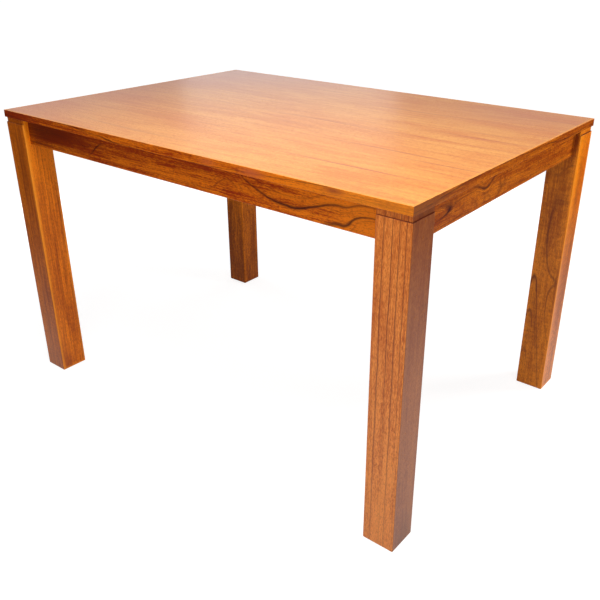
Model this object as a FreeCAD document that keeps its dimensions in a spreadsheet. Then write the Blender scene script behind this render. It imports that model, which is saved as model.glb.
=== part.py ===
import FreeCAD, Part
import math
import os
import Sketcher

# Four-legged dining table: a lipped, veneered top on square legs, with set-back aprons.
# Frame: +X along the long side, +Y from the front to the back, +Z up.
# The origin is on the floor under the middle of the top. Millimetres.

SIZES = {
    # overall
    "table_length": 1216,
    "table_width": 850,
    "table_height": 750,
    # top
    "core_thickness": 16.8,
    "veneer_thickness": 0.6,
    "lipping_width": 5,
    "top_arris": 1,
    # legs
    "leg_section": 74,
    "leg_inset_end": 1,
    "leg_inset_side": 2,
    "leg_arris": 2,
    "foot_chamfer": 1.5,
    "shadow_gap_height": 12,
    "shadow_gap_depth": 2.5,
    "ledge_arris": 1,
    "leg_flat": 21,
    # aprons
    "apron_height": 63,
    "apron_thickness": 20,
    "apron_reveal": 14,
    "apron_arris": 1,
    "kerf_drop": 12,
    "kerf_height": 3,
    "kerf_depth": 10,
    # corner blocks, keyed into the aprons
    "block_height": 50,
    "block_thickness": 24,
    "block_arris": 1,
    "key_width": 10,
    "key_depth": 5,
    "key_clearance": 0.1,
    # hanger bolts, with their washers and nuts
    "bolt_diameter": 8,
    "bolt_spacing": 24,
    "bolt_depth": 40,
    "bolt_tail": 5,
    "bolt_point": 6,
    "bolt_hole_clearance": 0.5,
    "thread_clearance": 0.1,
    "washer_diameter": 24,
    "washer_thickness": 2,
    "nut_width": 13,
    "nut_height": 6.5,
    # wood screws of the corner blocks
    "block_screw_diameter": 4.5,
    "block_screw_head": 9,
    "block_screw_head_height": 3,
    "block_screw_bite": 14,
    "block_screw_seat": 12,
    "block_screw_spacing": 24,
    "counterbore_clearance": 0.5,
    # clips that hold the top down
    "clip_thickness": 2,
    "clip_width": 20,
    "clip_tab": 8,
    "clip_reach": 22,
    "clip_standoff": 0.5,
    "clip_bend": 1,
    "clip_end_distance": 150,
    "clip_spacing_limit": 400,
    "clip_screw_diameter": 4,
    "clip_screw_head": 8,
    "clip_screw_head_height": 2.5,
    "clip_screw_bite": 13,
    "screw_hole_clearance": 0.2,
}

# Worked-out lengths, as expressions on the sheet's cells.
TOP_THICKNESS = "(sizes.core_thickness + 2 * sizes.veneer_thickness)"
LEG_LENGTH = f"(sizes.table_height - {TOP_THICKNESS})"
PANEL_LENGTH = "(sizes.table_length - 2 * sizes.lipping_width)"
PANEL_WIDTH = "(sizes.table_width - 2 * sizes.lipping_width)"
CORNER_X = "(sizes.table_length / 2 - sizes.leg_inset_end)"
CORNER_Y = "(sizes.table_width / 2 - sizes.leg_inset_side)"
APRON_BOTTOM = f"({LEG_LENGTH} - sizes.apron_height)"
APRON_MIDDLE = "(sizes.apron_height / 2)"
LONG_APRON_LENGTH = f"(2 * {CORNER_X} - 2 * sizes.leg_section)"
END_APRON_LENGTH = f"(2 * {CORNER_Y} - 2 * sizes.leg_section)"

# Corner frame: from a leg's outer corner, x and y both run inwards along the two aprons.
# A plane square to the diagonal is named by its x where y is 0, so x + y is the same all over it.
APRON_INSIDE = "(sizes.apron_reveal + sizes.apron_thickness)"
FLAT_PLANE = "(2 * sizes.leg_section - sizes.leg_flat)"
BLOCK_PLANE = f"({FLAT_PLANE} + sizes.block_thickness * sqrt(2))"
BLOCK_NEAR = f"({FLAT_PLANE} - {APRON_INSIDE})"
BLOCK_FAR = f"({BLOCK_PLANE} - {APRON_INSIDE})"
KEY_MIDDLE = f"(({BLOCK_NEAR} + {BLOCK_FAR}) / 2)"
KEY_NEAR = f"({KEY_MIDDLE} - sizes.key_width / 2)"
KEY_FAR = f"({KEY_MIDDLE} + sizes.key_width / 2)"
SCREW_LINE = f"(({BLOCK_NEAR} + {KEY_NEAR}) / 2)"
SCREW_SEAT = f"({APRON_INSIDE} + sizes.block_screw_seat)"
BLOCK_BOTTOM = f"({APRON_BOTTOM} + {APRON_MIDDLE} - sizes.block_height / 2)"
BOLT_END = (
    "(sizes.block_thickness + sizes.washer_thickness + sizes.nut_height + sizes.bolt_tail)"
)
CLIP_SCREW_Y = "(sizes.clip_reach - sizes.clip_screw_head / 2 - sizes.clip_thickness)"
CLIP_SCREW_LENGTH = "(sizes.clip_screw_bite + sizes.clip_thickness)"
BLOCK_SCREW_LENGTH = "(sizes.block_screw_seat + sizes.block_screw_bite)"

# name, side of the table in X and in Y, turn of the corner frame
CORNERS = (
    ("front_left", -1, -1, 0),
    ("front_right", 1, -1, 90),
    ("back_right", 1, 1, 180),
    ("back_left", -1, 1, 270),
)
# name, direction that the side faces in X and in Y, turn of the side's frame
SIDES = (
    ("front", 0, -1, 0),
    ("right", 1, 0, 90),
    ("back", 0, 1, 180),
    ("left", -1, 0, 270),
)
PAIR = (-1, 1)
HEX_CORNERS = 6
HEX_TURN = 60
EIGHTH_TURN = 45
HALF_TURN = 180
MARGIN = 10
NEAR = 0.001
X_AXIS = FreeCAD.Vector(1, 0, 0)
Y_AXIS = FreeCAD.Vector(0, 1, 0)
Z_AXIS = FreeCAD.Vector(0, 0, 1)
DIAGONAL = FreeCAD.Vector(1, 1, 0)

doc = FreeCAD.newDocument("dining_table")


def fill_sheet():
    sheet = doc.addObject("Spreadsheet::Sheet", "sizes")
    for row, (name, number) in enumerate(SIZES.items(), start=1):
        sheet.set(f"A{row}", name)
        sheet.set(f"B{row}", str(number))
        sheet.setAlias(f"B{row}", name)
    doc.recompute()
    return sheet


sizes = fill_sheet()


def value(expression):
    """The number that an expression on the sheet's cells gives."""
    result = sizes.evalExpression(str(expression))
    return float(getattr(result, "Value", result))


# ---- helpers: bodies, sketches and features ----

def new_body(label):
    body = doc.addObject("PartDesign::Body", label)
    body.Label = label
    return body


def place(part, x="0", y="0", z="0", turn=0):
    part.Placement = FreeCAD.Placement(FreeCAD.Vector(), FreeCAD.Rotation(Z_AXIS, turn))
    for axis, expression in (("x", x), ("y", y), ("z", z)):
        part.setExpression(f"Placement.Base.{axis}", expression)


def new_sketch(body, role, name, offset=("0", "0", "0"), turn=0):
    """Sketch on one of the body's origin planes, moved by offset and turned about its own y."""
    sketch = body.newObject("Sketcher::SketchObject", f"{body.Name}_{name}")
    plane = [feature for feature in body.Origin.OriginFeatures if feature.Role == role]
    sketch.AttachmentSupport = [(plane[0], "")]
    sketch.MapMode = "FlatFace"
    sketch.AttachmentOffset = FreeCAD.Placement(FreeCAD.Vector(), FreeCAD.Rotation(Y_AXIS, turn))
    for axis, expression in zip("xyz", offset):
        sketch.setExpression(f"AttachmentOffset.Base.{axis}", expression)
    return sketch


def pin_point(sketch, geometry, point, x, y):
    """Fixes a point of the sketch at the place that two expressions give."""
    for kind, own_axis, expression in (("X", -2, x), ("Y", -1, y)):
        if expression == "0":
            sketch.addConstraint(Sketcher.Constraint("PointOnObject", geometry, point, own_axis))
            continue
        index = sketch.addConstraint(
            Sketcher.Constraint(f"Distance{kind}", -1, 1, geometry, point, value(expression))
        )
        name = f"{kind.lower()}_{geometry}"
        sketch.renameConstraint(index, name)
        sketch.setExpression(f"Constraints.{name}", expression)


def draw_outline(sketch, corners):
    """Closed outline of straight lines. Each corner is a pair of expressions."""
    first = sketch.GeometryCount
    points = [FreeCAD.Vector(value(x), value(y), 0) for x, y in corners]
    for start, end in zip(points, points[1:] + points[:1]):
        sketch.addGeometry(Part.LineSegment(start, end), False)
    for index, (x, y) in enumerate(corners):
        after = (index + 1) % len(corners)
        sketch.addConstraint(Sketcher.Constraint("Coincident", first + index, 2, first + after, 1))
        pin_point(sketch, first + index, 1, x, y)


def draw_rectangle(sketch, x0, y0, x1, y1):
    draw_outline(sketch, [(x0, y0), (x1, y0), (x1, y1), (x0, y1)])


def draw_circle(sketch, x, y, diameter):
    centre = FreeCAD.Vector(value(x), value(y), 0)
    index = sketch.addGeometry(Part.Circle(centre, Z_AXIS, value(diameter) / 2), False)
    pin_point(sketch, index, 3, x, y)
    size = sketch.addConstraint(Sketcher.Constraint("Diameter", index, value(diameter)))
    sketch.renameConstraint(size, f"diameter_{index}")
    sketch.setExpression(f"Constraints.diameter_{index}", diameter)


def pad(body, sketch, length):
    feature = body.newObject("PartDesign::Pad", f"{sketch.Name}_pad")
    feature.Profile = sketch
    feature.setExpression("Length", length)
    doc.recompute()
    return feature


def pocket(body, sketch, depth=None, reverse=False, both_ways=False):
    """Cuts the sketch to a depth, or through all. It must take material away."""
    before = body.Shape.Volume
    feature = body.newObject("PartDesign::Pocket", f"{sketch.Name}_pocket")
    feature.Profile = sketch
    feature.Reversed = reverse
    feature.Midplane = both_ways
    if depth is None:
        feature.Type = "ThroughAll"
    else:
        feature.Type = "Length"
        feature.setExpression("Length", depth)
    doc.recompute()
    if not body.Shape.Volume < before:
        raise RuntimeError(f"{feature.Name} cuts nothing")
    return feature


def revolve(body, sketch):
    """Turns the sketch once round its own vertical axis."""
    feature = body.newObject("PartDesign::Revolution", f"{sketch.Name}_turned")
    feature.Profile = sketch
    feature.ReferenceAxis = (sketch, ["V_Axis"])
    doc.recompute()
    return feature


def edges_where(shape, test):
    return [f"Edge{index}" for index, edge in enumerate(shape.Edges, start=1) if test(edge)]


def ease(body, kind, test, size):
    """Fillet or chamfer on the edges of the body that pass the test."""
    base = body.Tip
    names = edges_where(base.Shape, test)
    if not names:
        raise RuntimeError(f"{body.Name} has no edge to ease")
    feature = body.newObject(f"PartDesign::{kind}", f"{body.Name}_{kind.lower()}")
    feature.Base = (base, names)
    feature.setExpression("Radius" if kind == "Fillet" else "Size", size)
    doc.recompute()
    return feature


def runs_along(edge, axis):
    ends = [vertex.Point for vertex in edge.Vertexes]
    if len(ends) != 2:
        return False
    return (ends[1] - ends[0]).cross(axis).Length < NEAR


def level(edge, height):
    box = edge.BoundBox
    return abs(box.ZMin - height) < NEAR and abs(box.ZMax - height) < NEAR


# ---- top: core board, two veneers and a mitred lipping ----

def make_top_blank():
    """Outer form of the whole top with its arrises eased. The lippings are cut from it."""
    body = new_body("top_blank")
    sketch = new_sketch(body, "XY_Plane", "plan")
    half_x = "sizes.table_length / 2"
    half_y = "sizes.table_width / 2"
    draw_rectangle(sketch, f"-{half_x}", f"-{half_y}", half_x, half_y)
    pad(body, sketch, TOP_THICKNESS)
    ease(body, "Fillet", lambda edge: True, "sizes.top_arris")
    place(body, z=LEG_LENGTH)
    return body


def make_lipping(blank, name, side_x, side_y, turn):
    """Mitred edge strip: a wedge-ended prism keeps its share of the blank's rim."""
    along = "sizes.table_length" if side_y else "sizes.table_width"
    outside = f"({along} / 2 + {MARGIN})"
    inside = f"({along} / 2 - sizes.lipping_width)"
    share = new_body(f"{name}_share")
    sketch = new_sketch(share, "XY_Plane", "mitres", offset=("0", "0", f"-{MARGIN}"))
    draw_outline(sketch, [
        (f"-{outside}", f"-{MARGIN}"),
        (outside, f"-{MARGIN}"),
        (inside, "sizes.lipping_width"),
        (f"-{inside}", "sizes.lipping_width"),
    ])
    pad(share, sketch, f"{TOP_THICKNESS} + 2 * {MARGIN}")
    place(
        share,
        x=f"{side_x} * sizes.table_length / 2",
        y=f"{side_y} * sizes.table_width / 2",
        z=LEG_LENGTH,
        turn=turn,
    )
    strip = doc.addObject("Part::Common", name)
    strip.Label = name
    strip.Base = blank
    strip.Tool = share
    return strip


def make_sheet_layer(name, thickness, bottom, holes=None):
    """Flat layer inside the lippings, with the clip screws' holes where they reach it."""
    layer = doc.addObject("Part::Box", f"{name}_sheet" if holes else name)
    layer.setExpression("Length", PANEL_LENGTH)
    layer.setExpression("Width", PANEL_WIDTH)
    layer.setExpression("Height", thickness)
    place(layer, x=f"-{PANEL_LENGTH} / 2", y=f"-{PANEL_WIDTH} / 2", z=bottom)
    if holes:
        drilled = doc.addObject("Part::Cut", name)
        drilled.Base = layer
        drilled.Tool = holes
        layer = drilled
    layer.Label = name
    return layer


# ---- legs ----

def make_leg(name, side_x, side_y, turn):
    body = new_body(f"leg_{name}")
    leg = "sizes.leg_section"

    section = new_sketch(body, "XY_Plane", "section")
    draw_rectangle(section, "0", "0", leg, leg)
    pad(body, section, LEG_LENGTH)
    ease(body, "Fillet", lambda edge: runs_along(edge, Z_AXIS), "sizes.leg_arris")
    ease(body, "Chamfer", lambda edge: level(edge, 0), "sizes.foot_chamfer")

    # shadow gap: a rebate round the two outer faces, under the top
    gap = new_sketch(body, "XY_Plane", "shadow_gap", offset=("0", "0", LEG_LENGTH))
    depth = "sizes.shadow_gap_depth"
    draw_outline(gap, [
        ("0", "0"), (leg, "0"), (leg, depth), (depth, depth), (depth, leg), ("0", leg),
    ])
    pocket(body, gap, "sizes.shadow_gap_height")
    ledge = value(f"{LEG_LENGTH} - sizes.shadow_gap_height")
    neck = value(depth) - NEAR
    ease(
        body,
        "Fillet",
        lambda edge: level(edge, ledge)
        and min(edge.BoundBox.XMin, edge.BoundBox.YMin) < NEAR
        and min(edge.BoundBox.XMax, edge.BoundBox.YMax) < neck,
        "sizes.ledge_arris",
    )

    # flat across the inner corner, where the corner block bears
    flat = new_sketch(body, "XY_Plane", "flat", offset=("0", "0", LEG_LENGTH))
    start = f"{leg} - sizes.leg_flat"
    draw_outline(flat, [(leg, start), (leg, leg), (start, leg)])
    pocket(body, flat, "sizes.apron_height")

    # pilot holes of the two hanger bolts, square to the flat
    bores = new_sketch(
        body,
        "XZ_Plane",
        "bolt_bores",
        offset=(f"{FLAT_PLANE} / 2", f"{APRON_BOTTOM} + {APRON_MIDDLE}", f"-{FLAT_PLANE} / 2"),
        turn=-EIGHTH_TURN,
    )
    for way in PAIR:
        draw_circle(
            bores,
            "0",
            f"{way} * sizes.bolt_spacing / 2",
            "sizes.bolt_diameter + 2 * sizes.thread_clearance",
        )
    pocket(body, bores, "sizes.bolt_depth + sizes.thread_clearance", reverse=True)
    place(body, f"{side_x} * {CORNER_X}", f"{side_y} * {CORNER_Y}", turn=turn)
    return body


# ---- aprons ----

def make_apron(name, side_x, side_y, turn):
    """Rail between two legs. Its own frame has x along it, y inwards and z up."""
    body = new_body(f"apron_{name}")
    length = LONG_APRON_LENGTH if side_y else END_APRON_LENGTH
    inner = "sizes.apron_thickness"

    plan = new_sketch(body, "XY_Plane", "plan")
    draw_rectangle(plan, f"-{length} / 2", "0", f"{length} / 2", inner)
    pad(body, plan, "sizes.apron_height")
    ease(
        body,
        "Fillet",
        lambda edge: runs_along(edge, X_AXIS) and level(edge, 0),
        "sizes.apron_arris",
    )

    # saw kerf for the clips, along the whole inner face
    kerf = new_sketch(body, "YZ_Plane", "kerf")
    kerf_top = "sizes.apron_height - sizes.kerf_drop"
    draw_rectangle(
        kerf,
        f"{inner} - sizes.kerf_depth",
        f"{kerf_top} - sizes.kerf_height",
        inner,
        kerf_top,
    )
    pocket(body, kerf, both_ways=True)

    # upright grooves that take the corner blocks' keys
    grooves = new_sketch(body, "XY_Plane", "grooves")
    near_end = f"({length} / 2 + sizes.leg_section)"
    for way in PAIR:
        middle = f"{way} * ({near_end} - {KEY_MIDDLE})"
        half = "(sizes.key_width / 2 + sizes.key_clearance)"
        draw_rectangle(
            grooves,
            f"{middle} - {half}",
            f"{inner} - sizes.key_depth - sizes.key_clearance",
            f"{middle} + {half}",
            inner,
        )
    pocket(body, grooves, reverse=True)

    # pilot holes of the blocks' screws
    pilots = new_sketch(body, "XZ_Plane", "pilots", offset=("0", APRON_MIDDLE, f"-{inner}"))
    for way in PAIR:
        for rise in PAIR:
            draw_circle(
                pilots,
                f"{way} * ({near_end} - {SCREW_LINE})",
                f"{rise} * sizes.block_screw_spacing / 2",
                "sizes.block_screw_diameter + 2 * sizes.thread_clearance",
            )
    pocket(body, pilots, "sizes.block_screw_bite + sizes.thread_clearance", reverse=True)
    place(
        body,
        f"{side_x} * ({CORNER_X} - sizes.apron_reveal)",
        f"{side_y} * ({CORNER_Y} - sizes.apron_reveal)",
        APRON_BOTTOM,
        turn,
    )
    return body


# ---- corner blocks ----

def make_corner_block(name, side_x, side_y, turn):
    """Block across a corner: it bears on the leg's flat and is keyed into both aprons."""
    body = new_body(f"corner_block_{name}")
    wall = APRON_INSIDE
    tongue = f"{APRON_INSIDE} - sizes.key_depth"
    half_outline = [
        (BLOCK_NEAR, wall),
        (KEY_NEAR, wall),
        (KEY_NEAR, tongue),
        (KEY_FAR, tongue),
        (KEY_FAR, wall),
        (BLOCK_FAR, wall),
    ]
    mirrored_half = [(y, x) for x, y in reversed(half_outline)]
    plan = new_sketch(body, "XY_Plane", "plan")
    draw_outline(plan, half_outline + mirrored_half)
    pad(body, plan, "sizes.block_height")
    long_side = value(f"({BLOCK_FAR} - {wall}) * sqrt(2)")
    ease(
        body,
        "Chamfer",
        lambda edge: abs(edge.Length - long_side) < NEAR,
        "sizes.block_arris",
    )

    # clearance holes of the hanger bolts
    bolt_holes = new_sketch(
        body,
        "XZ_Plane",
        "bolt_holes",
        offset=(f"{FLAT_PLANE} / 2", "sizes.block_height / 2", f"-{FLAT_PLANE} / 2"),
        turn=-EIGHTH_TURN,
    )
    for rise in PAIR:
        draw_circle(
            bolt_holes,
            "0",
            f"{rise} * sizes.bolt_spacing / 2",
            "sizes.bolt_diameter + 2 * sizes.bolt_hole_clearance",
        )
    pocket(body, bolt_holes)

    # screw holes into both aprons, each with a counterbore for the head
    for role, toward, outward in (("XZ_Plane", "-", False), ("YZ_Plane", "", True)):
        seat = ("0", "sizes.block_height / 2", f"{toward}{SCREW_SEAT}")
        for kind, diameter, reverse in (
            ("counterbores", "sizes.block_screw_head + 2 * sizes.counterbore_clearance", outward),
            ("shank_holes", "sizes.block_screw_diameter + 2 * sizes.screw_hole_clearance",
             not outward),
        ):
            sketch = new_sketch(body, role, f"{kind}_{role[:2]}", offset=seat)
            for rise in PAIR:
                draw_circle(
                    sketch,
                    SCREW_LINE,
                    f"{rise} * sizes.block_screw_spacing / 2",
                    diameter,
                )
            pocket(body, sketch, reverse=reverse)
    place(body, f"{side_x} * {CORNER_X}", f"{side_y} * {CORNER_Y}", BLOCK_BOTTOM, turn)
    return body


# ---- fasteners: one of each kind is modelled, and a group holds its copies ----

def make_hanger_bolt():
    """Axis along z, from the leg's flat: wood thread below 0, machine thread above it."""
    body = new_body("one_hanger_bolt")
    sketch = new_sketch(body, "XZ_Plane", "half")
    radius = "sizes.bolt_diameter / 2"
    draw_outline(sketch, [
        ("0", "-sizes.bolt_depth"),
        (radius, "-sizes.bolt_depth + sizes.bolt_point"),
        (radius, BOLT_END),
        ("0", BOLT_END),
    ])
    revolve(body, sketch)
    return body


def make_washer():
    body = new_body("one_washer")
    sketch = new_sketch(body, "XY_Plane", "ring")
    draw_circle(sketch, "0", "0", "sizes.washer_diameter")
    draw_circle(sketch, "0", "0", "sizes.bolt_diameter + 2 * sizes.thread_clearance")
    pad(body, sketch, "sizes.washer_thickness")
    return body


def make_nut():
    body = new_body("one_nut")
    sketch = new_sketch(body, "XY_Plane", "hexagon")
    corner = "sizes.nut_width / sqrt(3)"
    draw_outline(sketch, [
        (f"{corner} * cos({HEX_TURN * (index + 0.5)})", f"{corner} * sin({HEX_TURN * (index + 0.5)})")
        for index in range(HEX_CORNERS)
    ])
    draw_circle(sketch, "0", "0", "sizes.bolt_diameter + 2 * sizes.thread_clearance")
    pad(body, sketch, "sizes.nut_height")
    return body


def make_screw(label, kind, length):
    """Flat-headed wood screw: the head's seat is at 0, the shank runs down from it."""
    body = new_body(label)
    sketch = new_sketch(body, "XZ_Plane", "half")
    radius = f"sizes.{kind}_diameter / 2"
    head = f"sizes.{kind}_head / 2"
    top = f"sizes.{kind}_head_height"
    draw_outline(sketch, [
        ("0", f"-{length}"),
        (radius, f"-{length}"),
        (radius, "0"),
        (head, "0"),
        (head, top),
        ("0", top),
    ])
    revolve(body, sketch)
    return body


def make_clip():
    """Z-shaped steel clip. Its frame has y inwards from the apron's face and z = 0 on the top."""
    body = new_body("one_clip")
    sketch = new_sketch(body, "YZ_Plane", "profile")
    steel = "sizes.clip_thickness"
    web = "sizes.clip_standoff"
    draw_outline(sketch, [
        ("-sizes.clip_tab", f"-sizes.kerf_drop - {steel}"),
        (f"{web} + {steel}", f"-sizes.kerf_drop - {steel}"),
        (f"{web} + {steel}", f"-{steel}"),
        ("sizes.clip_reach", f"-{steel}"),
        ("sizes.clip_reach", "0"),
        (web, "0"),
        (web, "-sizes.kerf_drop"),
        ("-sizes.clip_tab", "-sizes.kerf_drop"),
    ])
    flat = pad(body, sketch, "sizes.clip_width")
    flat.Midplane = True
    doc.recompute()
    outer = (value(f"{web} + {steel}"), value(f"-sizes.kerf_drop - {steel}"))
    upper = (value(web), 0.0)
    ease(
        body,
        "Fillet",
        lambda edge: runs_along(edge, X_AXIS)
        and any(
            abs(edge.BoundBox.YMin - y) < NEAR and abs(edge.BoundBox.ZMin - z) < NEAR
            for y, z in (outer, upper)
        ),
        f"sizes.clip_bend + {steel}",
    )
    hole = new_sketch(body, "XY_Plane", "hole")
    draw_circle(
        hole,
        "0",
        CLIP_SCREW_Y,
        "sizes.clip_screw_diameter + 2 * sizes.screw_hole_clearance",
    )
    pocket(body, hole)
    return body


def group(label, one, placements):
    """All copies of one fastener, as separate solids under one name."""
    copies = []
    for placement in placements:
        copy = one.Shape.copy()
        copy.Placement = placement.multiply(copy.Placement)
        copies.append(copy)
    feature = doc.addObject("Part::Feature", label)
    feature.Label = label
    feature.Shape = Part.makeCompound(copies)
    feature.Placement = FreeCAD.Placement()
    return feature


def corner_frames():
    for _, side_x, side_y, turn in CORNERS:
        origin = FreeCAD.Vector(side_x * value(CORNER_X), side_y * value(CORNER_Y), 0)
        yield FreeCAD.Placement(origin, FreeCAD.Rotation(Z_AXIS, turn))


def bolt_placements(along):
    """Frames on the hanger bolts' axes, at a distance in from the leg's flat."""
    middle = value(f"{APRON_BOTTOM} + {APRON_MIDDLE}")
    out = value(FLAT_PLANE) / 2
    step = FreeCAD.Vector(DIAGONAL).normalize() * value(along)
    for frame in corner_frames():
        for rise in PAIR:
            height = middle + rise * value("sizes.bolt_spacing") / 2
            spot = FreeCAD.Vector(out, out, height) + step
            yield frame.multiply(
                FreeCAD.Placement(spot, FreeCAD.Rotation(Z_AXIS, DIAGONAL))
            )


def block_screw_placements():
    middle = value(f"{APRON_BOTTOM} + {APRON_MIDDLE}")
    line = value(SCREW_LINE)
    seat = value(SCREW_SEAT)
    for frame in corner_frames():
        for rise in PAIR:
            height = middle + rise * value("sizes.block_screw_spacing") / 2
            for spot, axis in (
                (FreeCAD.Vector(line, seat, height), Y_AXIS),
                (FreeCAD.Vector(seat, line, height), X_AXIS),
            ):
                yield frame.multiply(
                    FreeCAD.Placement(spot, FreeCAD.Rotation(Z_AXIS, axis))
                )


def clip_placements():
    """Frames of the clips, at the top's underside and on the aprons' inner faces."""
    height = value(LEG_LENGTH)
    for _, side_x, side_y, turn in SIDES:
        length = value(LONG_APRON_LENGTH if side_y else END_APRON_LENGTH)
        reach_x = value(f"{CORNER_X} - {APRON_INSIDE}")
        reach_y = value(f"{CORNER_Y} - {APRON_INSIDE}")
        frame = FreeCAD.Placement(
            FreeCAD.Vector(side_x * reach_x, side_y * reach_y, height),
            FreeCAD.Rotation(Z_AXIS, turn),
        )
        first = value("sizes.clip_end_distance") - length / 2
        gaps = math.ceil(-2 * first / value("sizes.clip_spacing_limit"))
        for index in range(gaps + 1):
            along = first - 2 * first * index / gaps
            yield frame.multiply(
                FreeCAD.Placement(FreeCAD.Vector(along, 0, 0), FreeCAD.Rotation())
            )


def clip_screw_placements():
    """Frames of the clip screws: heads under the clips, points up into the top."""
    drop = FreeCAD.Vector(0, value(CLIP_SCREW_Y), -value("sizes.clip_thickness"))
    for frame in clip_placements():
        yield frame.multiply(FreeCAD.Placement(drop, FreeCAD.Rotation(X_AXIS, HALF_TURN)))


def make_clip_screw_holes():
    """Cutters for the clip screws' pilot holes in the top."""
    depth = f"({CLIP_SCREW_LENGTH} + sizes.thread_clearance)"
    one = doc.addObject("Part::Cylinder", "one_pilot_hole")
    one.setExpression("Radius", "sizes.clip_screw_diameter / 2 + sizes.thread_clearance")
    one.setExpression("Height", depth)
    place(one, z=f"-{depth}")
    doc.recompute()
    return group("clip_screw_holes", one, clip_screw_placements())


# ---- the table ----

def build():
    holes = make_clip_screw_holes()
    veneer = "sizes.veneer_thickness"
    core_bottom = f"{LEG_LENGTH} + {veneer}"
    parts = [
        make_sheet_layer("backing_veneer", veneer, LEG_LENGTH, holes),
        make_sheet_layer("core_board", "sizes.core_thickness", core_bottom, holes),
        make_sheet_layer("face_veneer", veneer, f"{core_bottom} + sizes.core_thickness"),
    ]
    blank = make_top_blank()
    for name, side_x, side_y, turn in SIDES:
        parts.append(make_lipping(blank, f"lipping_{name}", side_x, side_y, turn))
        parts.append(make_apron(name, side_x, side_y, turn))
    for corner in CORNERS:
        parts.append(make_leg(*corner))
        parts.append(make_corner_block(*corner))
    parts.append(group("hanger_bolts", make_hanger_bolt(), bolt_placements("0")))
    on_block = "sizes.block_thickness"
    parts.append(group("bolt_washers", make_washer(), bolt_placements(on_block)))
    on_washer = f"{on_block} + sizes.washer_thickness"
    parts.append(group("bolt_nuts", make_nut(), bolt_placements(on_washer)))
    block_screw = make_screw("one_block_screw", "block_screw", BLOCK_SCREW_LENGTH)
    parts.append(group("block_screws", block_screw, block_screw_placements()))
    parts.append(group("top_clips", make_clip(), clip_placements()))
    clip_screw = make_screw("one_clip_screw", "clip_screw", CLIP_SCREW_LENGTH)
    parts.append(group("clip_screws", clip_screw, clip_screw_placements()))
    doc.recompute()
    return parts


def check(parts):
    for item in doc.Objects:
        if "Invalid" in item.State or "Error" in item.State:
            raise RuntimeError(f"{item.Name} failed: {item.State}")
    for part in parts:
        if part.Shape.isNull() or not part.Shape.isValid():
            raise RuntimeError(f"{part.Label} has no valid shape")


def export(parts):
    os.makedirs("parts", exist_ok=True)
    for part in parts:
        part.Shape.exportStep(f"parts/{part.Label}.step")
        print(part.Label, len(part.Shape.Solids), "solids", round(part.Shape.Volume), "mm3")


table = build()
check(table)
export(table)
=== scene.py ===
import math

import bpy
from mathutils import Matrix, Vector


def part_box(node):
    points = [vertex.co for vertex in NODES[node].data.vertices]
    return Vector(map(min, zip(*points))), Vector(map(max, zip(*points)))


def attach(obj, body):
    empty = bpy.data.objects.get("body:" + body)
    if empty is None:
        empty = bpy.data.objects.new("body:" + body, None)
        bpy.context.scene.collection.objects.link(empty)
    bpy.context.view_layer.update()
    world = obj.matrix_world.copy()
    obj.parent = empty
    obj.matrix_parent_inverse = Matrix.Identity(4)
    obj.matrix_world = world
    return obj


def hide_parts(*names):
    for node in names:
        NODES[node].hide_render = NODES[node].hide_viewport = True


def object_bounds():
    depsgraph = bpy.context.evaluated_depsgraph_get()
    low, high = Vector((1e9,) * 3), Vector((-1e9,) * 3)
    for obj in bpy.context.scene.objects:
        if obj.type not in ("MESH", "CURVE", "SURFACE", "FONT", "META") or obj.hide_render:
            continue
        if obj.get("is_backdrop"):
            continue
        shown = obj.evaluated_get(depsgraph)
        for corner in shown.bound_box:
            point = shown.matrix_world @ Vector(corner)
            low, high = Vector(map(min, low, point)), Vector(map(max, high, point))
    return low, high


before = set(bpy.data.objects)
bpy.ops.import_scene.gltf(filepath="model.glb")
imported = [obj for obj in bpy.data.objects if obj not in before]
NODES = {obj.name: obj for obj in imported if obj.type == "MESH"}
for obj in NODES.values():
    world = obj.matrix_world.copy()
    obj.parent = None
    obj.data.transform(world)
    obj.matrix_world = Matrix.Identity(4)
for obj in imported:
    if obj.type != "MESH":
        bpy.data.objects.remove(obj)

# Looks of a lipped and veneered dining table on four square legs. Metres, in the CAD frame:
# +X along the long side, +Y from the front to the back, +Z up, the floor at z 0.

CAD_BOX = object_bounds()

RIGHT = Vector((1, 0, 0))
BACK = Vector((0, 1, 0))
UP = Vector((0, 0, 1))

# The camera of the 600 x 600 frame.
CAMERA_PLACE = Vector((1.1697, -1.3969, 1.1310))
CAMERA_AZIMUTH = -0.66347
CAMERA_FALL = 0.43989
CAMERA_ROLL = 0.00372
FOCAL_PIXELS = 723.1
FRAME_PIXELS = 600
PRINCIPAL_POINT = (317.1, 286.0)
SENSOR_WIDTH = 36


def linear(red, green, blue):
    """Colour for a shader from 8-bit sRGB values."""
    def channel(level):
        level /= 255
        return level / 12.92 if level <= 0.04045 else ((level + 0.055) / 1.055) ** 2.4

    return (channel(red), channel(green), channel(blue), 1.0)


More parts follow.
